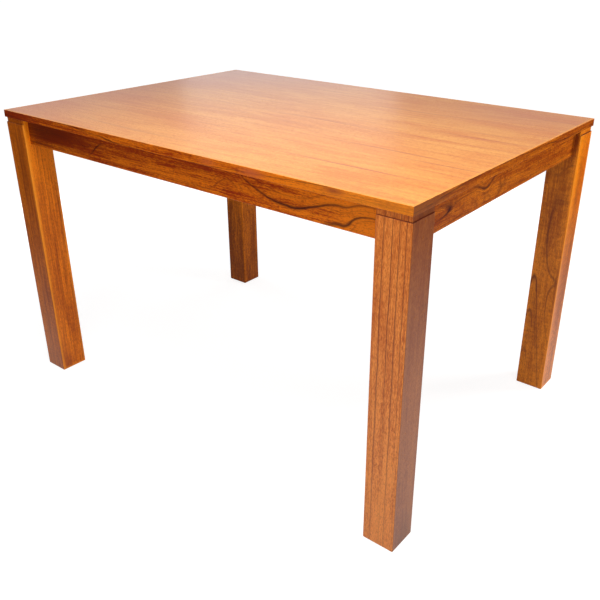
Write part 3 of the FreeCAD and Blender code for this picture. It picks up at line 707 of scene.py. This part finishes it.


# corner, wood, outward directions, strength of the painted shade in the gap, look
LEGS = (
    ("front_right", LEG_WOOD, (RIGHT, -BACK), 1.0, {
        "pith": (-0.8, 0.0), "ring_width": 0.0165, "line_share": 0.12, "wander": 0.005,
        "rings": 0.4, "clouds": 0.35, "streaks": 0.45, "fibres": 0.95, "pores": 0.35,
        "specular": 0.45, "edge_wear_and_highlight": 0.28, "flame_width": 0.06,
        "flames": (
            ((-0.020, -0.037, 0.1), 0.9, (1, 1, 0.5)),
            ((-0.002, -0.037, 0.2), 0.9, (1, 1, 0.3)),
            ((0.013, -0.037, 0.1), 0.9, (1, 1, 0.5)),
            ((0.027, -0.037, 0.25), 0.8, (1, 1, 0.3)),
        ),
        # painted shade: the right face darker
        "face_light_and_shade": ((RIGHT, (0.51, 0.47, 0.49)),),
        "tone_and_painted_light_spots": (
            # painted light lower on the leg, and painted shade at the foot and the top of the right
            # face
            (-0.5, (0, 0, -0.4), (1, 1, 0.35)),
            (0.6, (0.045, 0, -0.37), (0.014, 1, 0.16)),
            (0.35, (0.045, 0, 0.33), (0.014, 1, 0.12)),
            (0.3, (-0.04, -0.037, 0.0), (0.008, 1, 1)),
        ),
        # painted shade: a browner patch low on the right face
        "faded": ((linear(150, 84, 30), ((0.5, (0.037, 0.004, -0.36), (0.006, 0.03, 0.07)),)),),
    }),
    ("front_left", GOLD_LEG_WOOD, (-RIGHT, -BACK), 0.3, {
        "pith": (-0.20, 0.10), "rings": 0.5, "specular": 0.25,
        # painted highlight along the arrises of the right face
        "edge_wear_and_highlight": 0.6, "edge_reach": 0.010, "edge_colour": GOLD_ARRIS_HIGHLIGHT, "edge_side": RIGHT,
        "streaks": 0.6, "fibres": 0.5,
        "tone_and_painted_light_spots": (
            # painted light high on the right face, and painted shade lower down it
            (-1.5, (0.045, 0, 0.34), (0.01, 1, 0.14)),
            (0.4, (0.045, 0, -0.12), (0.01, 1, 0.2)),
            (0.7, (0.037, 0.034, -0.22), (0.01, 0.006, 0.12)),
            (-0.1, (0.037, 0.0, -0.2), (0.01, 0.016, 0.16)),
            (0.35, (0.037, 0.0, -0.36), (0.01, 1, 0.06)),
        ),
        "faded": (
            # painted reflection low on the front face, painted highlight along its upper arrises,
            # and a deeper patch high on it
            (linear(196, 134, 96), ((0.25, (-0.01, -0.04, -0.35), (0.05, 0.03, 0.25)),)),
            (linear(226, 128, 32), (
                (0.75, (0.036, -0.037, 0.17), (0.006, 0.008, 0.22)),
                (0.5, (-0.037, -0.037, 0.24), (0.009, 0.008, 0.16)),
            )),
            (linear(128, 60, 14), ((0.4, (0.004, -0.037, 0.26), (0.02, 0.008, 0.14)),)),
        ),
        # painted light: the right face lighter
        "face_light_and_shade": ((RIGHT, (1.15, 1.2, 1.0)),),
    }),
    ("back_right", OLIVE_LEG_WOOD, (RIGHT, BACK), 1.0, {
        "pith": (-0.028, -0.025), "ring_width": 0.016, "taper": 7.8, "wander": 0.006,
        "rings": 0.25, "clouds": 1.3, "streaks": 0.5, "fibres": 0.6, "ripple": 1.0, "tone": 0.42,
        "specular": 0.25, "flame_width": 0.07,
        # painted highlight along the arrises of the right face
        "edge_wear_and_highlight": 0.8, "edge_reach": 0.012, "edge_colour": GOLD_ARRIS_HIGHLIGHT, "edge_side": RIGHT,
        "figures": (
            (3.0, (0.035, -0.037, 0.075), (0.035, 0.5, 0.075)),
            (-4.7, (0.045, -0.037, 0.24), (0.04, 0.5, 0.09)),
            (2.0, (0.037, -0.037, -0.13), (0.026, 0.5, 0.07)),
            (-1.5, (0.037, -0.037, -0.035), (0.03, 0.5, 0.025)),
        ),
        "flames": (
            ((-0.028, -0.037, -0.034), 0.8, (1, 1, 0.30)),
            ((-0.022, -0.037, -0.150), 0.7, (0.02, 1, 0.03), 0.05),
            ((-0.006, -0.037, -0.190), 0.4, (0.02, 1, 0.08), 0.12),
            ((-0.022, -0.037, -0.265), 0.5, (0.02, 1, 0.03), 0.05),
            ((-0.008, -0.037, 0.090), 0.75, (0.05, 1, 0.13), 0.2),
            ((0.014, -0.037, -0.090), 0.6, (0.04, 1, 0.10), 0.16),
        ),
        "tone_and_painted_light_spots": (
            # painted light high on the right face, painted shade in its middle, and painted shadow
            # under the top on the front face
            (-1.0, (0.045, 0, 0.34), (0.012, 1, 0.09)),
            (0.5, (0.045, 0, 0.05), (0.012, 1, 0.2)),
            (0.9, (0.026, -0.04, 0.335), (0.014, 0.02, 0.035)),
        ),
        "faded": (
            # painted shadow under the top on the front face, painted light high on the right face,
            # painted reflection low on it, and an orange patch towards its back
            (linear(104, 34, 12), ((0.75, (0.028, -0.04, 0.345), (0.012, 0.012, 0.03)),)),
            (linear(250, 142, 10), ((0.6, (0.038, -0.030, 0.24), (0.004, 0.018, 0.18)),)),
            (linear(230, 140, 78), ((0.5, (0.038, -0.030, -0.12), (0.004, 0.016, 0.2)),)),
            (linear(196, 84, 6), ((0.5, (0.038, 0.020, 0.26), (0.004, 0.022, 0.14)),)),
        ),
        # painted light: the right face lighter
        "face_light_and_shade": ((RIGHT, (1.2, 1.12, 0.85)),),
    }),
    ("back_left", BROWN_LEG_WOOD, (-RIGHT, BACK), 1.0, {
        "pith": (0.30, 0.05), "rings": 0.5, "clouds": 1.2, "streaks": 0.7, "specular": 0.12,
        "edge_wear_and_highlight": 0.15, "tone": 0.25,
        "tone_and_painted_light_spots": (
            (0.6, (0, 0, -0.4), (1, 1, 0.35)),
            (-0.5, (0, 0, 0.3), (1, 1, 0.2)),
            (-0.7, (0, -0.045, 0.1), (1, 0.015, 0.2)),
        ),
    }),
)


def dress_legs():
    for seed, (corner, palette, outward, gap_shade_strength, look) in enumerate(LEGS, start=21):
        node = f"leg_{corner}"
        gap = painted_gap_shade(outward, gap_shade_strength)
        dress(node, wood_material(
            f"{node}_wood", node, RIGHT, BACK, seed, palette, extra=gap, **look,
        ))


def dress_inside():
    """Core, backing veneer and corner blocks, which show from below."""
    dress("core_board", wood_material(
        "fibreboard", "core_board", RIGHT, BACK, 31, BOARD_FIBRE,
        rings=0.0, clouds=0.3, streaks=0.0, fibres=0.3, pores=0.1, ripple=0.1, end_grain=0.0,
    ))
    dress("backing_veneer", wood_material(
        "backing", "backing_veneer", BACK, UP, 33, BACKING_WOOD,
        pith=(0.9, 0.4), ring_width=0.008, rings=0.4, streaks=0.6, fibres=0.6,
    ))
    for seed, (corner, *_) in enumerate(LEGS, start=35):
        node = f"corner_block_{corner}"
        dress(node, wood_material(
            f"{node}_wood", node, RIGHT, BACK, seed, BLOCK_WOOD,
            rings=0.4, streaks=0.6, fibres=0.6, end_grain=0.2,
        ))


TARNISH_GRAIN = (180, 180, 180)
TARNISH = 0.72
DRAWN_GRAIN = (1500, 1500, 400)
METAL_BUMP = (0.2, 0.0001)


def metal_material(name, colour, roughness):
    """Zinc-plated steel with a faint drawn texture and cloudy passivation."""
    material, graph, shader = new_material(name)
    place = graph.add("ShaderNodeTexCoord").outputs["Object"]
    cloud = graph.noise(place, TARNISH_GRAIN, detail=3.0).outputs["Fac"]
    fine = graph.noise(place, DRAWN_GRAIN).outputs["Fac"]
    dull = tuple(TARNISH * channel for channel in colour[:3]) + (1.0,)
    graph.feed(shader.inputs["Base Color"], graph.mix(graph.ramp(cloud, 0.35, 0.7), colour, dull))
    worn = graph.math("ADD", roughness, graph.math("MULTIPLY", fine, 0.16))
    graph.feed(shader.inputs["Roughness"], worn)
    shader.inputs["Metallic"].default_value = 1.0
    graph.bump(shader, fine, *METAL_BUMP)
    return material


# ---- fasteners: each is turned or threaded about its own z axis, in metres ----

# Corners and sides, each with its turn in degrees. A side's pair points to its inner face.
CORNERS = (
    ("front_left", 0),
    ("front_right", 90),
    ("back_right", 180),
    ("back_left", 270),
)
SIDES = (
    ("front", (0, 1), 0),
    ("right", (-1, 0), 90),
    ("back", (0, -1), 180),
    ("left", (1, 0), 270),
)

# Places of the fasteners, as part.py has them: from a leg's outer corner, or along an apron.
PAIR_SPACING = 0.024
LEG_FLAT = 0.0635
BLOCK_THICKNESS = 0.024
BLOCK_SCREW_SPOTS = (((0.098985, 0.046), BACK), ((0.046, 0.098985), RIGHT))
CLIP_END, CLIP_SPACING_LIMIT = 0.150, 0.400
CLIP_SCREW_IN, CLIP_THICKNESS = 0.016, 0.002
WASHER_THICKNESS = 0.002

SHARP_ANGLE = math.radians(32)
THREAD_SINK = 0.00015


def round_angles(count):
    return [2 * math.pi * index / count for index in range(count)]


def turned(rings, angles, closed=False):
    """Skin over rings about z, listed so that it faces outwards.

    A ring is (radius, height) or a function of the angle that gives both. A plain radius of 0
    closes the end. A closed skin joins its last ring to its first, round a bore.
    """
    points, faces, rows = [], [], []
    for ring in rings:
        if not callable(ring) and ring[0] == 0:
            rows.append([len(points)] * len(angles))
            points.append((0, 0, ring[1]))
            continue
        rows.append(list(range(len(points), len(points) + len(angles))))
        for angle in angles:
            radius, height = ring(angle) if callable(ring) else ring
            points.append((radius * math.cos(angle), radius * math.sin(angle), height))
    for lower, upper in zip(rows, rows[1:] + (rows[:1] if closed else [])):
        for index in range(len(angles)):
            after = (index + 1) % len(angles)
            corners = (lower[index], lower[after], upper[after], upper[index])
            faces.append(tuple(dict.fromkeys(corners)))
    return points, faces


def thread(start, end, root, crest, pitch, sides=14):
    """Closed helical ridge between two heights, its foot sunk a little into the core at root.

    It runs out into the core at both ends.
    """
    foot = root - THREAD_SINK
    count = int(((end - start) / pitch - 1) * sides)
    points, faces = [], []
    for step in range(count + 1):
        angle = 2 * math.pi * step / sides
        base = start + pitch * step / sides
        fade = min(1.0, (step + 1) / sides, (count + 1 - step) / sides)
        tip = foot + (crest - foot) * fade
        for radius, rise in ((foot, 0.04), (tip, 0.5), (foot, 0.96)):
            points.append((radius * math.cos(angle), radius * math.sin(angle), base + rise * pitch))
    for step in range(count):
        here, after = 3 * step, 3 * (step + 1)
        for first, second in ((0, 1), (1, 2), (2, 0)):
            faces.append((here + first, after + first, after + second, here + second))
    faces += [(0, 1, 2), (3 * count, 3 * count + 2, 3 * count + 1)]
    return points, faces


def join_shapes(*shapes):
    points, faces = [], []
    for more_points, more_faces in shapes:
        faces += [tuple(index + len(points) for index in face) for face in more_faces]
        points += more_points
    return points, faces


def hanger_bolt():
    """Wood thread below the leg's flat at 0, machine thread above it."""
    wood_root, collar, root, crest = 0.0028, 0.0037, 0.0033, 0.004
    point, thread_start, end = -0.040, 0.020, 0.0375
    core = turned(
        [(0, point), (0.0006, point + 0.0005), (wood_root, point + 0.006), (wood_root, -0.003),
         (collar, -0.001), (collar, thread_start), (root, thread_start + 0.0005),
         (root, end - 0.0006), (0.0027, end), (0, end)],
        round_angles(24),
    )
    wood_thread = thread(point + 0.0035, -0.001, wood_root, crest, pitch=0.003)
    machine_thread = thread(
        thread_start - 0.0005, end - 0.0001, root, crest, pitch=0.00125, sides=20,
    )
    return join_shapes(core, wood_thread, machine_thread)


def washer():
    bore, radius, bore_edge, edge = 0.0042, 0.012, 0.0002, 0.0003
    top = WASHER_THICKNESS
    rings = [
        (bore, bore_edge), (bore + bore_edge, 0), (radius - edge, 0), (radius, edge),
        (radius, top - edge), (radius - edge, top),
        (bore + bore_edge, top), (bore, top - bore_edge),
    ]
    return turned(rings, round_angles(48), closed=True)


def nut():
    """Hexagon nut. Its corners are bevelled by a cone, which leaves the curved upper edges."""
    height, half_width, bore, bore_edge, bevel = 0.0065, 0.0065, 0.0041, 0.0005, 0.0062
    sector = math.pi / 3

    def flats(angle):
        return half_width / math.cos((angle + sector / 2) % sector - sector / 2)

    def drop(angle):
        return (flats(angle) - bevel) * math.tan(math.radians(30))

    rings = [
        (bore, bore_edge), (bore + bore_edge, 0), (bevel, 0),
        lambda angle: (flats(angle), drop(angle)),
        lambda angle: (flats(angle), height - drop(angle)),
        (bevel, height), (bore + bore_edge, height), (bore, height - bore_edge),
    ]
    return turned(rings, round_angles(48), closed=True)


def wood_screw(head, height, shank, length, pitch, plain):
    """Pan head with a cross recess on its seat at 0, and a threaded shank below it."""
    arm, half_slot = 0.52 * head, 0.12 * head
    arm_corner = math.atan2(half_slot, arm)
    offsets = (-math.pi / 4, -0.5, -0.36, -arm_corner, -0.1, 0.1, arm_corner, 0.36, 0.5)
    angles = [quarter * math.pi / 2 + offset for quarter in range(4) for offset in offsets]

    def cross(angle):
        off = (angle + math.pi / 4) % (math.pi / 2) - math.pi / 4
        return min(arm / math.cos(off), half_slot / max(abs(math.sin(off)), 1e-6))

    def dome(radius):
        return height * (1 - 0.2 * (radius / head) ** 2)

    core = 0.66 * shank
    rings = [
        (0, -length), (0.15 * shank, -length + 0.0003), (core, -length + 0.0035),
        (core, -plain - 0.0005), (0.9 * shank, -plain), (0.9 * shank, 0),
        (0.96 * head, 0), (head, 0.1 * height), (head, 0.45 * height), (0.96 * head, 0.66 * height),
        (0.86 * head, dome(0.86 * head)),
        lambda angle: (cross(angle), dome(cross(angle))),
        lambda angle: (0.5 * cross(angle), 0.35 * height),
        (0, 0.28 * height),
    ]
    ridge = thread(-length + 0.0024, -plain, core, shank, pitch, sides=12)
    return join_shapes(turned(rings, angles), ridge)


def block_screw():
    return wood_screw(
        head=0.0045, height=0.003, shank=0.00225, length=0.026, pitch=0.002, plain=0.009,
    )


def clip_screw():
    return wood_screw(
        head=0.004, height=0.0025, shank=0.002, length=0.015, pitch=0.0018, plain=0.003,
    )


def axis_frame(place, axis, turn=0.0):
    """Frame at a place with z along the axis, turned about it."""
    swing = UP.rotation_difference(axis).to_matrix().to_4x4()
    return Matrix.Translation(place) @ swing @ Matrix.Rotation(turn, 4, "Z")


def corner_frames():
    """Frames at the legs' outer corners, x and y inwards, at the height of the aprons' middle."""
    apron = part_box("apron_front")
    for name, turn in CORNERS:
        low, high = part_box(f"leg_{name}")
        corner = Vector((
            high.x if "right" in name else low.x,
            high.y if "back" in name else low.y,
            (apron[0].z + apron[1].z) / 2,
        ))
        inwards = Matrix.Rotation(math.radians(turn), 4, "Z")
        for rise in (-PAIR_SPACING / 2, PAIR_SPACING / 2):
            yield Matrix.Translation(corner + UP * rise) @ inwards


def bolt_frames(along):
    """Frames on the bolts' axes, so far from the leg's flat."""
    diagonal = (RIGHT + BACK).normalized()
    for frame_here in corner_frames():
        place = Vector((LEG_FLAT, LEG_FLAT, 0)) + diagonal * along
        yield frame_here @ axis_frame(place, diagonal)


def block_screw_frames():
    for index, frame_here in enumerate(corner_frames()):
        for (x, y), axis in BLOCK_SCREW_SPOTS:
            yield frame_here @ axis_frame(Vector((x, y, 0)), axis, 0.7 * index)


def clip_screw_frames():
    for side, (in_x, in_y), turn in SIDES:
        low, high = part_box(f"apron_{side}")
        length = (high.x - low.x) if in_y else (high.y - low.y)
        inner = Vector((
            {-1: low.x, 0: 0, 1: high.x}[in_x],
            {-1: low.y, 0: 0, 1: high.y}[in_y],
            high.z - CLIP_THICKNESS,
        ))
        side_frame = Matrix.Translation(inner) @ Matrix.Rotation(math.radians(turn), 4, "Z")
        reach = length / 2 - CLIP_END
        gaps = math.ceil(2 * reach / CLIP_SPACING_LIMIT)
        for index in range(gaps + 1):
            along = -reach + 2 * reach * index / gaps
            yield side_frame @ axis_frame(Vector((along, CLIP_SCREW_IN, 0)), -UP, 0.9 * index)


def make_copies(node, shape, frames, material):
    """One object with a copy of the shape in each frame, in place of the CAD node."""
    points, faces = shape
    copies = [([placed @ Vector(point) for point in points], faces) for placed in frames]
    points, faces = join_shapes(*copies)
    mesh = bpy.data.meshes.new(f"{node}_detail")
    mesh.from_pydata(points, [], faces)
    mesh.polygons.foreach_set("use_smooth", [True] * len(mesh.polygons))
    mesh.set_sharp_from_angle(angle=SHARP_ANGLE)
    mesh.materials.append(material)
    piece = bpy.data.objects.new(f"{node}_detail", mesh)
    bpy.context.scene.collection.objects.link(piece)
    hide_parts(node)
    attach(piece, "root")


def dress_metal():
    zinc = metal_material("zinc", linear(206, 204, 196), 0.28)
    on_washer = BLOCK_THICKNESS + WASHER_THICKNESS
    make_copies("hanger_bolts", hanger_bolt(), bolt_frames(0), zinc)
    make_copies("bolt_washers", washer(), bolt_frames(BLOCK_THICKNESS), zinc)
    make_copies("bolt_nuts", nut(), bolt_frames(on_washer), zinc)
    make_copies("block_screws", block_screw(), block_screw_frames(), zinc)
    make_copies("clip_screws", clip_screw(), clip_screw_frames(), zinc)
    dress("top_clips", metal_material("zinc_strip", linear(190, 190, 184), 0.34))


# ---- stage, light and camera ----

# Metres, but brightness where it says bounce, lit, glow or room.
FLOOR_SIZE = 60.0
FLOOR_DROP = 0.0005
FLOOR_BOUNCE = 0.38
FLOOR_LIT = 0.34
FLOOR_GLOW = 0.84
FLOOR_GLOW_FAR = 0.98
LACQUER_GLOW = 0.5
SWEEP_RADIUS = 0.8
SWEEP_END = 3.2
SWEEP_FADE = 2.2
ROOM_HORIZON = 1.0
ROOM_LEFT = 0.62
ROOM_RIGHT = 0.22
ROOM_HIGH = 0.12
# z, z and x of the direction, over which the room changes
LOW_BAND = (0.10, 0.20)
HIGH_BAND = (0.25, 0.55)
LEFT_BAND = (-0.95, -0.2)
CAMERA_REACH = 200

# name, place, what it is aimed at, size, power, whether the lacquer mirrors it
LAMPS = (
    ("key_above", (0.42, -0.62, 1.95), (0.3, -0.4, 0.7), (0.8, 0.8), 21, False),
    ("key_front", (0.9, -1.95, 0.95), (0.4, -0.4, 0.5), (0.8, 0.9), 13, False),
    ("key_right", (1.4, 1.25, 1.05), (0.6, 0.3, 0.6), (0.5, 0.6), 15, False),
    ("fill_right", (2.2, -0.7, 1.0), (0.4, 0.0, 0.6), (0.6, 0.8), 10, False),
    ("fill_back", (-0.6, 2.1, 0.45), (-0.2, 0.3, 0.4), (1.0, 0.5), 10, False),
    ("fill_left", (-2.1, 0.5, 0.45), (-0.4, 0.0, 0.4), (0.8, 0.5), 10, False),
    ("card_back_left", (-2.2, 2.6, 1.2), (-0.2, 0.2, 0.7), (1.5, 1.0), 3.4, True),
)


def eye_rays(graph):
    """The kinds of ray, and 1 for one that comes from the eye, straight or let through."""
    paths = graph.add("ShaderNodeLightPath").outputs
    return paths, graph.math("MAXIMUM", paths["Is Camera Ray"], paths["Is Transmission Ray"])


def make_floor():
    """Pale floor: white to the eye, greyer in what it bounces back.

    In the lacquer it fades with the distance from the table, like a lit sweep in a dim room.
    """
    mesh = bpy.data.meshes.new("studio_floor")
    half = FLOOR_SIZE / 2
    corners = [(-half, -half), (half, -half), (half, half), (-half, half)]
    mesh.from_pydata([(x, y, -FLOOR_DROP) for x, y in corners], [], [(0, 1, 2, 3)])
    floor = bpy.data.objects.new("studio_floor", mesh)
    bpy.context.scene.collection.objects.link(floor)
    material, graph, shader = new_material("studio_white")
    distance = graph.vector("LENGTH", graph.add("ShaderNodeTexCoord").outputs["Object"])
    near = graph.ramp(distance, SWEEP_RADIUS, SWEEP_END, 1.0, 0.0, smooth=False)
    paths, looked_at = eye_rays(graph)
    faded = graph.math("POWER", near, SWEEP_FADE)
    mirrored = graph.math("MULTIPLY", paths["Is Glossy Ray"], faded)
    seen = graph.math("MAXIMUM", looked_at, mirrored)
    unseen = graph.math("SUBTRACT", 1.0, graph.math("MAXIMUM", looked_at, paths["Is Glossy Ray"]))
    tone = graph.math("ADD", graph.math("MULTIPLY", seen, FLOOR_LIT),
                      graph.math("MULTIPLY", unseen, FLOOR_BOUNCE))
    graph.feed(shader.inputs["Base Color"], graph.grey(tone))
    shader.inputs["Roughness"].default_value = 0.9
    shader.inputs["Specular IOR Level"].default_value = 0.0
    shader.inputs["Emission Color"].default_value = (1, 1, 1, 1)
    white = graph.ramp(distance, SWEEP_RADIUS, SWEEP_END, FLOOR_GLOW, FLOOR_GLOW_FAR)
    glow = graph.math("ADD", graph.math("MULTIPLY", looked_at, white),
                      graph.math("MULTIPLY", mirrored, LACQUER_GLOW))
    graph.feed(shader.inputs["Emission Strength"], glow)
    mesh.materials.append(material)
    floor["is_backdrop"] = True


def make_world():
    """Soft room: white along the horizon, brighter on the left above it, dim overhead.

    To the eye it is white all over. The lacquer and the metal show its own white and its dim parts.
    """
    world = bpy.data.worlds.new("studio")
    bpy.context.scene.world = world
    world.use_nodes = True
    graph = Graph(world.node_tree)
    background = world.node_tree.nodes["Background"]
    toward = graph.split(graph.add("ShaderNodeTexCoord").outputs["Generated"])
    wall = graph.ramp(toward[0], *LEFT_BAND, ROOM_LEFT, ROOM_RIGHT)
    above_low = graph.ramp(toward[2], *LOW_BAND)
    low = graph.mix(above_low, graph.grey(ROOM_HORIZON), graph.grey(wall))
    high = graph.mix(graph.ramp(toward[2], *HIGH_BAND), low, graph.grey(ROOM_HIGH))
    _, looked_at = eye_rays(graph)
    seen = graph.mix(looked_at, high, (1, 1, 1, 1))
    graph.feed(background.inputs["Color"], seen)


def make_lights():
    """Only the pale card is seen in the lacquer. The lamps would be hard white squares there."""
    for name, place, target, size, power, mirrored in LAMPS:
        data = bpy.data.lights.new(name, "AREA")
        data.shape = "RECTANGLE"
        data.size, data.size_y = size
        data.energy = power
        light = bpy.data.objects.new(name, data)
        light.location = place
        aim = Vector(target) - Vector(place)
        light.rotation_mode = "QUATERNION"
        light.rotation_quaternion = aim.to_track_quat("-Z", "Y")
        light.visible_camera = False
        light.visible_glossy = mirrored
        bpy.context.scene.collection.objects.link(light)


def make_camera():
    """Camera at the measured place. Its frame is right, up and back, turned by the roll."""
    forward = Vector((
        math.sin(CAMERA_AZIMUTH) * math.cos(CAMERA_FALL),
        math.cos(CAMERA_AZIMUTH) * math.cos(CAMERA_FALL),
        -math.sin(CAMERA_FALL),
    ))
    level_right = forward.cross(UP).normalized()
    level_up = level_right.cross(forward)
    cosine, sine = math.cos(CAMERA_ROLL), math.sin(CAMERA_ROLL)
    right = level_right * cosine + level_up * sine
    up = level_up * cosine - level_right * sine
    data = bpy.data.cameras.new("camera")
    data.sensor_fit = "HORIZONTAL"
    data.sensor_width = SENSOR_WIDTH
    data.lens = FOCAL_PIXELS * SENSOR_WIDTH / FRAME_PIXELS
    data.shift_x = (FRAME_PIXELS / 2 - PRINCIPAL_POINT[0]) / FRAME_PIXELS
    data.shift_y = (PRINCIPAL_POINT[1] - FRAME_PIXELS / 2) / FRAME_PIXELS
    data.clip_end = CAMERA_REACH
    camera = bpy.data.objects.new("camera", data)
    turn = Matrix((right, up, -forward)).transposed()
    camera.matrix_world = Matrix.Translation(CAMERA_PLACE) @ turn.to_4x4()
    bpy.context.scene.collection.objects.link(camera)
    bpy.context.scene.camera = camera


dress_face_veneer()
dress_sides("lipping", 5, LIPPING_LOOK, LIPPING_CHANGES)
dress_sides("apron", 11, APRON_LOOK, APRON_CHANGES)
dress_legs()
dress_inside()
dress_metal()
make_floor()
make_world()
make_lights()
make_camera()
bpy.context.scene.view_settings.view_transform = "Standard"

boxes = {"cad": CAD_BOX, "visual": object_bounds()}
{name: [list(corner) for corner in box] for name, box in boxes.items()}
